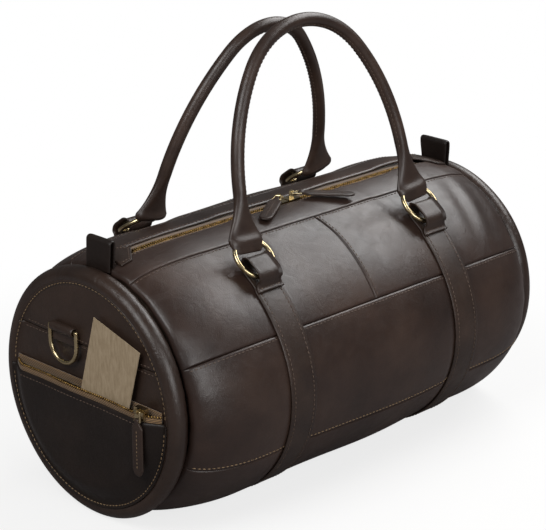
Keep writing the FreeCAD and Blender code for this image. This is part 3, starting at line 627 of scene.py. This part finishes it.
def paddedRim(label, sign):
    spin = np.linspace(0, 2 * np.pi, 320, endpoint=False)[:, None]
    turn = np.linspace(0, 2 * np.pi, 40, endpoint=False)[None]
    gather = np.sin(spin * 61 + 1.7 * np.sin(spin * 5)) * 0.6
    gather = gather + np.sin(spin * 37 + 2.1 * np.sin(spin * 3 + 1)) * 0.6
    seamSide = np.exp(-((turn - np.pi) / 0.9) ** 2)  # towards the barrel
    soft = 0.5 * np.sin(spin * 4 + 0.6) + 0.4 * np.sin(spin * 7 + 2.0)
    depth = rimLook["halfDepth"] + rimLook["gather"] * gather * seamSide + 0.3 * soft
    width = rimLook["halfWidth"] + 0.25 * soft + rimLook["gather"] * 0.5 * gather * seamSide
    x = sign * (rimLook["x"] + width * np.cos(turn)) + bag["midX"]
    r = rimLook["radius"] + depth * np.sin(turn)
    points = np.stack([x, r * np.sin(spin), bag["endZ"] + r * np.cos(spin)], -1)
    rim = gridMesh("end_rim_%s_roll" % label, points, wrapRows=True, wrapCols=True)
    dress(rim, "bag", rimHide, "hide", "end_rim_" + label)


paddedRim("left", -1)
paddedRim("right", 1)

# ends: leather discs that swell a little, the left one cut into an upper panel, a pocket back and a pocket front
endLook = {
    "radius": 105.4, "face": 242.0, "swell": 2.6, "seam": 163.5, "lip": 120.0, "hide": 2.0, "roll": 1.2, "lap": 0.5,
    "stand": 12.0, "standEdge": 2.4, "standFlat": 81.0, "standLap": 1.4,
    "row": 102.6, "edgeProud": 0.2, "seamRow": 3.4, "seamHalf": (83, 87), "lipRow": 4.4, "lipHalf": 84,
}


# part of a disc between two heights: rows of points across, each as wide as the disc is there
def discPart(name, sign, lowZ, highZ, outFrom):
    centre, radius = bag["endZ"], endLook["radius"]
    a0 = math.asin(max(-1, (lowZ - centre) / radius))
    a1 = math.asin(min(1, (highZ - centre) / radius))
    a = np.linspace(a0, a1, 90)[:, None]
    s = np.sin(np.linspace(-np.pi / 2, np.pi / 2, 110))[None]
    z = centre + radius * np.sin(a) + 0 * s
    y = radius * np.cos(a) * s
    rho = np.hypot(y, z - centre)
    near = radius - rho
    if highZ < centre + radius:
        near = np.minimum(near, highZ - z)
    if lowZ > centre - radius:
        near = np.minimum(near, z - lowZ)
    out = outFrom(y, z, rho) + rolledEdge(near, endLook["roll"])
    points = np.stack([sign * (endLook["face"] + out) + bag["midX"], y, z], -1)
    return thicken(gridMesh(name, points, flip=sign < 0), endLook["hide"])


# height of the rim above the face by distance from the middle: the outer half of its oval, plus what laps over it
def ontoRim(rho):
    fall = np.clip((rimLook["radius"] - rho) / rimLook["halfDepth"], -1, 1)
    return rimLook["x"] + rimLook["halfWidth"] * np.sqrt(1 - fall ** 2) - endLook["face"] + endLook["lap"]


# larger of two heights with a rounded change from one to the other
def roundedMax(a, b, width=1.5):
    return (a + b + np.sqrt((a - b) ** 2 + width ** 2)) / 2


def swollen(y, z, rho):
    face = endLook["swell"] * (1 - (rho / endLook["radius"]) ** 2) + 0.25 * np.sin(y / 14 + 1) * np.sin(z / 17)
    return roundedMax(face, ontoRim(rho))


# the back of the pocket is flat up to the rim
def pocketFlat(y, z, rho):
    return roundedMax(0 * y, ontoRim(rho))


# the pocket front stands off the end like a shallow pan, with soft creases that run down from the slack lip
def pocketStand(y, z, rho):
    fall = smooth(endLook["radius"], endLook["standFlat"], rho)
    slackLip = np.exp(-(endLook["lip"] - z) / 16)
    crease = 0.5 * slackLip * np.sin(y / 13 + 0.6) + 0.4 * np.sin(y / 23 + 2) * np.sin(z / 19)
    pan = endLook["standEdge"] + (endLook["stand"] - endLook["standEdge"]) * fall + crease * fall
    return roundedMax(pan, ontoRim(rho) + endLook["standLap"])


bottomZ, topZ = bag["endZ"] - endLook["radius"], bag["endZ"] + endLook["radius"]
endParts = [  # piece, node, side, lowest and highest z, surface, leather
    ("end_panel_right_hide", "end_panel_right", 1, bottomZ, topZ, swollen, endHide),
    ("end_panel_left_hide", "end_panel_left", -1, endLook["seam"], topZ, swollen, endHide),
    ("pocket_back_hide", "pocket_back_panel", -1, bottomZ, endLook["seam"], pocketFlat, endHide),
    # the pocket front takes the darker hide as painted shade
    ("pocket_front_hide", "pocket_front_panel", -1, bottomZ, endLook["lip"], pocketStand, paintedShadeHide),
]
for name, node, sign, lowZ, highZ, outFrom, hide in endParts:
    dress(discPart(name, sign, lowZ, highZ, outFrom), "bag", hide, "hide", node)


# row of stitches on an end: y and z are given, and x lies just proud of a surface over the face
def endRow(name, sign, y, z, outFrom, thread, proud=stitch["proud"], closed=False):
    out = outFrom(y, z, np.hypot(y, z - bag["endZ"]))
    x = sign * (endLook["face"] + out + proud) + bag["midX"]
    normal = np.broadcast_to(sign * axisX, (len(y), 3))
    stitchRow(name, np.stack([x, y, z], -1), normal, "bag", thread, closed=closed)


# tan stitches that circle each end and the pocket's edge, and dark ones along the pocket's seam and lip
def endRows():
    r, seamZ = endLook["row"], endLook["seam"]
    spin = np.linspace(0, 2 * np.pi, 400, endpoint=False)
    upper = spin[np.cos(spin) * r + bag["endZ"] > endLook["lip"] + 3]
    upper = upper[np.argsort((upper + np.pi) % (2 * np.pi))]  # from lip to lip over the top
    for label, sign, turn in (("left", -1, upper), ("right", 1, spin)):
        endRow("end_%s_circle_stitches" % label, sign, r * np.sin(turn), bag["endZ"] + r * np.cos(turn), swollen,
               tanThread, closed=sign > 0)
    turn = np.linspace(np.radians(93), np.radians(267), 200)
    endRow("pocket_edge_stitches", -1, r * np.sin(turn), bag["endZ"] + r * np.cos(turn), pocketStand, tanThread,
           endLook["edgeProud"])
    level = lambda y, z, rho: 0 * y
    rows = (("pocket_seam_stitches_above", endLook["seamHalf"][0], seamZ + endLook["seamRow"], swollen),
            ("pocket_seam_stitches_below", endLook["seamHalf"][1], seamZ - endLook["seamRow"], level),
            ("pocket_lip_stitches", endLook["lipHalf"], endLook["lip"] - endLook["lipRow"], pocketStand))
    for name, half, rowZ, outFrom in rows:
        y = np.linspace(-half, half, 120)
        endRow(name, -1, y, np.full(y.shape, rowZ), outFrom, seamThread)


endRows()
print("ends and pocket made")

# pointed patches over the zip's ends: an arrow outline laid on the barrel, rolled at the edges
patchLook = {
    "point": 189.0, "shoulder": 206.0, "end": 217.5, "half": 21.0, "hide": 1.8, "shell": 1.2, "roll": 1.2,
    "row": ((215.0, 18.0), (207.0, 18.0), (193.0, 0.0), (207.0, -18.0), (215.0, -18.0)),  # x and y of its stitches
    "rowPitch": 3.2, "rowProud": 0.1,
}


def zipPatch(label, sign):
    y = np.linspace(-1, 1, 61)[:, None] * patchLook["half"]
    t = np.linspace(0, 1, 40)[None]
    start = mix(patchLook["point"], patchLook["shoulder"], np.abs(y) / patchLook["half"])
    x = start + t * (patchLook["end"] - start)
    near = np.minimum(np.minimum((x - start) * 0.78, patchLook["end"] - x), patchLook["half"] - np.abs(y))
    phi = -np.arcsin(y / bag["crown"]) + 0 * x
    top = bag["sewnGap"] + patchLook["hide"]
    points = bodyPoint(sign * x, phi, top + rolledEdge(near, patchLook["roll"]))
    piece = gridMesh("zip_end_patch_%s_leather" % label, points, flip=sign < 0)
    dress(thicken(piece, patchLook["shell"]), "bag", strapHide, "hide", "zip_end_patch_" + label)
    line = respace(np.array(patchLook["row"]), 1.0)
    phi = -np.arcsin(line[:, 1] / bag["crown"])
    normal = np.stack([0 * phi, -np.sin(phi), np.cos(phi)], -1)
    points = bodyPoint(sign * line[:, 0], phi, top + patchLook["rowProud"])
    stitchRow("zip_end_patch_%s_stitches" % label, points, normal, "bag", seamThread, pitch=patchLook["rowPitch"])


zipPatch("left", -1)
zipPatch("right", 1)

# grab loops: a strip folded upright, two legs and a half circle over the top
grabLook = {"width": 31.0, "hide": 2.6, "thick": 8.0, "x": 225.0, "lean": 0.05, "flare": 0.10, "leftFlare": 0.3}


def grabLoop(label, sign):
    baseZ, topZ = (1000 * corner.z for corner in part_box("grab_loop_" + label))
    r = (grabLook["thick"] - grabLook["hide"]) / 2
    top = topZ - baseZ - grabLook["thick"] / 2
    leg = np.linspace(0.2, top, 16)
    turn = np.linspace(np.pi, 0, 20)[1:-1]
    near, far = np.stack([-r + 0 * leg, leg], -1), np.stack([r + 0 * leg, leg[::-1]], -1)
    over = np.stack([r * np.cos(turn), top + r * np.sin(turn)], -1)
    line = respace(np.vstack([near, over, far]), 0.8)
    flare = 1 + grabLook["flare"] * smooth(4, 24, line[:, 1]) * (1.0 if sign > 0 else grabLook["leftFlare"])
    x = sign * grabLook["x"] + bag["midX"] + line[:, 0] - sign * grabLook["lean"] * line[:, 1]
    path = np.stack([x, 0 * x, baseZ + line[:, 1]], -1)
    side = np.broadcast_to(axisY, path.shape)
    out = unit(np.cross(unit(np.gradient(path, axis=0)), side))
    profile = stripProfile(grabLook["width"], grabLook["hide"], 44, 8.0)[None]
    profile = profile * np.stack([flare, np.ones_like(flare)], -1)[:, None]
    loop = sweep("grab_loop_%s_leather" % label, path, side, out, profile)
    # the grab loops take the pocket's darker hide as painted shade
    dress(loop, "bag", paintedShadeHide, "strap_hide", "grab_loop_" + label)


grabLoop("left", -1)
grabLoop("right", 1)

# loops for the D-rings: a strip round the bar and down the face in two layers
dLook = {
    "y": 28.0, "width": 31.0, "hide": 2.3, "bar": 173.5, "fold": 3.5, "tongue": 13.0,
    "frontLayer": 2.4, "frontFrom": 9.5, "bulge": (1.6, 6.5),
}


def dRingLoop(label, sign):
    low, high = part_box("d_ring_" + label)
    barOut, barZ, fold = 1000 * abs((low.x + high.x) / 2 - bag["midX"] * 0.001), dLook["bar"], dLook["fold"]
    turn = np.radians(np.linspace(180, -115, 50))
    circle = np.stack([barOut + fold * np.cos(turn), barZ + fold * np.sin(turn)], -1)
    behindOut = max(barOut - fold, endLook["face"] + bag["sewnGap"] + dLook["hide"] / 2)
    behind = np.stack([np.full(8, behindOut), np.linspace(barZ - dLook["tongue"], barZ - 1, 8)], -1)
    aheadOut = barOut - fold + dLook["frontLayer"]
    ahead = np.array([[barOut - dLook["bulge"][0], barZ - dLook["bulge"][1]],
                      [aheadOut, barZ - dLook["frontFrom"]], [aheadOut, barZ - dLook["tongue"]]])
    line = softened(respace(np.vstack([behind, circle, ahead]), 0.6), 4)
    path = np.stack([sign * line[:, 0] + bag["midX"], np.full(len(line), dLook["y"]), line[:, 1]], -1)
    side = np.broadcast_to(axisY, path.shape)
    out = unit(np.cross(unit(np.gradient(path, axis=0)), side))
    profile = stripProfile(dLook["width"], dLook["hide"], 44, 8.0)
    profile = np.broadcast_to(profile, (len(path),) + profile.shape)
    loop = sweep("d_ring_loop_%s_leather" % label, path, side, out, profile)
    dress(loop, "bag", strapHide, "strap_hide", "d_ring_loop_" + label)


dRingLoop("left", -1)
dRingLoop("right", 1)
print("patches and loops made")

# zip teeth: small pillows across each row, the two rows set half a pitch apart
teethLook = {"pitch": 2.7, "length": 3.0, "width": 1.7, "height": 2.4, "beside": 1.98, "below": 3.7}


def teethRow(name, node, line, inward, normal, shift):
    along = np.concatenate([[0], np.cumsum(np.linalg.norm(np.diff(line, axis=0), axis=1))])
    where = np.arange(0.5 + shift, along[-1] / teethLook["pitch"] - 0.2) * teethLook["pitch"]
    origins = np.stack([np.interp(where, along, line[:, k]) for k in range(3)], -1)
    shape, faces = pillow(teethLook["length"], teethLook["width"], teethLook["height"], 8, 5, 6.0)
    many = lambda v: np.broadcast_to(v, origins.shape)
    row = copiesAlong(name, shape, faces, origins, many(inward), many(normal))
    dress(row, "bag", toothBrass, "zip_teeth", node)


zipX = np.linspace(-bag["zipHalf"], bag["zipHalf"], 160)
zipZ = bodyZ + bodyRadius(zipX, 0 * zipX) - teethLook["below"]
for label, y, shift in (("front", -teethLook["beside"], 0.0), ("back", teethLook["beside"], 0.5)):
    line = np.column_stack([zipX + bag["midX"], np.full(zipX.shape, y), zipZ])
    teethRow(label + "_zip_row", label + "_zip_teeth", line, axisY, axisZ, shift)

# zip of the pocket: the lower tape follows the lip and stands a little above it, the upper one lies on the back
pocketZip = {"half": 98.0, "tape": 0.8, "lower": (-8.0, 4.2), "lowerTeeth": 4.8, "lowerUnder": 2.8,
             "upper": (1.5, 9.5), "upperTeeth": 1.5, "upperOver": 1.0}


def pocketOut(label, y, z):
    rho = np.hypot(y, z - bag["endZ"])
    if label == "lower":
        return pocketStand(y, z, rho) - pocketZip["lowerUnder"]
    return pocketFlat(y, z, rho) + pocketZip["upperOver"]


def pocketZipHalf(label):
    y = np.linspace(-pocketZip["half"], pocketZip["half"], 120)
    z = endLook["lip"] + np.linspace(*pocketZip[label], 5)
    gridY, gridZ = np.meshgrid(y, z, indexing="ij")
    x = -(endLook["face"] + pocketOut(label, gridY, gridZ)) + bag["midX"]
    tape = gridMesh("pocket_%s_cloth" % label, np.stack([x, gridY, gridZ], -1), flip=True)
    dress(thicken(tape, pocketZip["tape"]), "bag", tapeCloth, "zip_tape", "pocket_%s_tape" % label)
    rowZ = np.full(y.shape, endLook["lip"] + pocketZip[label + "Teeth"])
    line = np.stack([-(endLook["face"] + pocketOut(label, y, rowZ)) + bag["midX"], y, rowZ], -1)
    teethRow("pocket_%s_row" % label, "pocket_%s_teeth" % label, line, axisZ,
             -axisX, 0.0)


pocketZipHalf("lower")
pocketZipHalf("upper")

# pull tabs: a leather slab, narrow at the link, wide along its length and rounded at the tip, with a row of stitches
tabLook = {"link": 9.0, "from": -2.0, "to": 52.2, "width": 13.0, "thick": 2.6, "neck": 5.0, "tip": 6.5,
           "knuckle": 1.6, "rowFrom": 8, "rowTo": 7, "rowPitch": 3.4}


def pullTab(name, body, node, pin, heading, axis, thread):
    far = pin + heading * tabLook["link"]
    d = respace(np.array([[tabLook["from"]], [tabLook["to"]]]), 0.7)[:, 0]
    end = d[-1]
    width = mix(tabLook["neck"], tabLook["width"], smooth(1.0, 7.0, d))
    width = width * np.sqrt(np.clip((end - d) / tabLook["tip"], 0.02, 1)) ** 0.8
    thick = tabLook["thick"] * np.sqrt(np.clip((end - d) / 1.6, 0.05, 1))
    thick = thick + tabLook["knuckle"] * np.exp(-(d / 1.8) ** 2)
    path = far + d[:, None] * heading
    out = np.cross(axis, heading)
    out = out if out[2] > 0 or (abs(out[2]) < 1e-6 and out[0] < 0) else -out
    many = lambda v: np.broadcast_to(v, path.shape)
    profile = stripProfile(1.0, 1.0, 40, 5.0)[None] * np.stack([width, thick], -1)[:, None]
    tab = sweep(name, path, many(axis), many(out), profile)
    dress(tab, body, strapHide, "strap_hide", node)
    row = (d > tabLook["rowFrom"]) & (d < end - tabLook["rowTo"])
    line = path[row] + out * (tabLook["thick"] / 2 - 0.1)
    normal = np.broadcast_to(out, line.shape)
    stitchRow(name + "_stitches", line, normal, body, thread, "strap_hide", tabLook["rowPitch"])


pullLook = {"pinZ": bodyZ + bag["crown"] + 5.0, "slope": math.radians(3.5),
            "pulls": (("left", -3.0, 212.0), ("right", 14.0, -39.0))}  # name, x of the pin, heading in degrees
for label, place, heading in pullLook["pulls"]:
    flatWay = np.array([math.cos(math.radians(heading)), math.sin(math.radians(heading)), 0])
    axis = np.cross(flatWay, axisZ)
    way = flatWay * math.cos(pullLook["slope"]) - np.array([0, 0, math.sin(pullLook["slope"])])
    pullTab("main_pull_leather_" + label, "main_pull_" + label, "main_pull_tab_" + label,
            np.array([place + bag["midX"], 0, pullLook["pinZ"]]), way, axis, seamThread)
linkLow, linkHigh = (np.array(c) * 1000 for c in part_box("pocket_pull_link"))
pocketPin = np.array([(linkLow[0] + linkHigh[0]) / 2, (linkLow[1] + linkHigh[1]) / 2, linkHigh[2] - 0.9])
pullTab("pocket_pull_leather", "pocket_pull", "pocket_pull_tab", pocketPin, -axisZ,
        axisY, tanThread)
print("zip teeth and pulls made")

# solids that keep their own shape get their finish
finishes = [
    (brass, ["ring_front_left", "ring_front_right", "ring_back_left", "ring_back_right", "d_ring_left", "d_ring_right",
             "main_slider_left", "main_slider_right", "pocket_slider",
             "main_pull_link_left", "main_pull_link_right", "pocket_pull_link"]),
    (tapeCloth, ["front_zip_tape", "back_zip_tape"]),
    (card, ["pocket_card"]),
    (liningCloth, ["main_lining"]),
    (stiffBoard, ["base_board", "end_board_left", "end_board_right"]),
    (cordCotton, ["handle_cord_front", "handle_cord_back"]),
]
for material, names in finishes:
    for node in names:
        nodes[node].data.materials.clear()
        nodes[node].data.materials.append(material)

# studio: pale floor that keeps the shadow near the bag and goes over to white for the camera further out
studio = {
    "floorHex": "f4f3f1", "bounceHex": "848080", "floorHalf": 6000.0, "worldLight": 0.10,
    "shadowKeeps": 0.22, "shadowFrom": 0.32, "whiteFrom": 0.6,
    "lamps": (  # name, place, target, width, height, watts
        ("key", (1.15, -0.12, 1.40), (0, -0.05, 0.2), 1.7, 0.7, 25.0),
        ("fill", (-0.5, -1.9, 0.9), (-0.1, 0, 0.12), 1.1, 1.1, 18.0),
        ("side", (-1.5, -0.2, 1.5), (-0.1, 0, 0.15), 1.0, 1.0, 20.0)),
    "azimuth": -45.15, "elevation": 19.51, "distance": 1.9237, "lens": 132.74, "sensor": 36.0,
    "target": (-0.0107 + bag["midX"] * 0.001, 0, 0.1812),
}


def makeFloor():
    h = studio["floorHalf"]
    floor = gridMesh("studio_floor", np.array([[[-h, -h, 0], [-h, h, 0]], [[h, -h, 0], [h, h, 0]]]), flip=True)
    material, tree, shader, place = newMaterial("pale studio floor")
    distance = addNode(tree, "ShaderNodeVectorMath", {"operation": "LENGTH"}, {0: place})
    far = addNode(tree, "ShaderNodeMapRange", {"interpolation_type": "SMOOTHSTEP"}, {
        "Value": distance.outputs["Value"], "From Min": studio["shadowFrom"], "From Max": studio["whiteFrom"],
        "To Min": 1 - studio["shadowKeeps"]})
    path = addNode(tree, "ShaderNodeLightPath")
    tint = addNode(tree, "ShaderNodeMix", {"data_type": "RGBA"}, {
        "Factor": path.outputs["Is Camera Ray"], 6: hexColour(studio["bounceHex"]), 7: hexColour(studio["floorHex"])})
    setInputs(tree, shader, {"Base Color": tint.outputs[2], "Roughness": 0.9, "Specular IOR Level": 0.0})
    seen = addNode(tree, "ShaderNodeMath", {"operation": "MULTIPLY"}, {
        0: far.outputs["Result"], 1: path.outputs["Is Camera Ray"]})
    white = addNode(tree, "ShaderNodeEmission", inputs={"Color": (1, 1, 1, 1), "Strength": 1.0})
    both = addNode(tree, "ShaderNodeMixShader", inputs={
        "Fac": seen.outputs["Value"], 1: shader.outputs["BSDF"], 2: white.outputs["Emission"]})
    setInputs(tree, tree.nodes["Material Output"], {"Surface": both.outputs["Shader"]})
    floor.data.materials.append(material)


def makeWorld():
    world = bpy.data.worlds.new("studio")
    bpy.context.scene.world = world
    world.use_nodes = True
    tree = world.node_tree
    path = addNode(tree, "ShaderNodeLightPath")
    seen = addNode(tree, "ShaderNodeMath", {"operation": "MAXIMUM"}, {
        0: path.outputs["Is Camera Ray"], 1: path.outputs["Is Transmission Ray"]})
    strength = addNode(tree, "ShaderNodeMapRange", inputs={
        "Value": seen.outputs["Value"], "To Min": studio["worldLight"], "To Max": 1.0})
    setInputs(tree, tree.nodes["Background"], {"Color": (1, 1, 1, 1), "Strength": strength.outputs["Result"]})


def makeLamp(name, place, target, wide, tall, watts):
    data = bpy.data.lights.new(name, "AREA")
    data.shape = "RECTANGLE"
    data.size, data.size_y = wide, tall
    data.energy = watts
    lamp = bpy.data.objects.new(name, data)
    lamp.location = place
    lamp.rotation_euler = (Vector(target) - Vector(place)).to_track_quat("-Z", "Y").to_euler()
    bpy.context.scene.collection.objects.link(lamp)


# camera solved from the seams, straps and ends in the photograph: a long lens from the front left, a little above
def makeCamera():
    a, e = math.radians(studio["azimuth"]), math.radians(studio["elevation"])
    back = Vector((math.sin(a) * math.cos(e), -math.cos(a) * math.cos(e), math.sin(e)))
    data = bpy.data.cameras.new("photo view")
    data.sensor_width, data.lens, data.sensor_fit = studio["sensor"], studio["lens"], "HORIZONTAL"
    camera = bpy.data.objects.new("photo view", data)
    camera.location = Vector(studio["target"]) + back * studio["distance"]
    camera.rotation_mode = "QUATERNION"
    camera.rotation_quaternion = (-back).to_track_quat("-Z", "Y")
    bpy.context.scene.collection.objects.link(camera)
    bpy.context.scene.camera = camera


makeFloor()
makeWorld()
for lamp in studio["lamps"]:
    makeLamp(*lamp)
makeCamera()
bpy.context.scene.view_settings.view_transform = "Standard"
print("studio made")
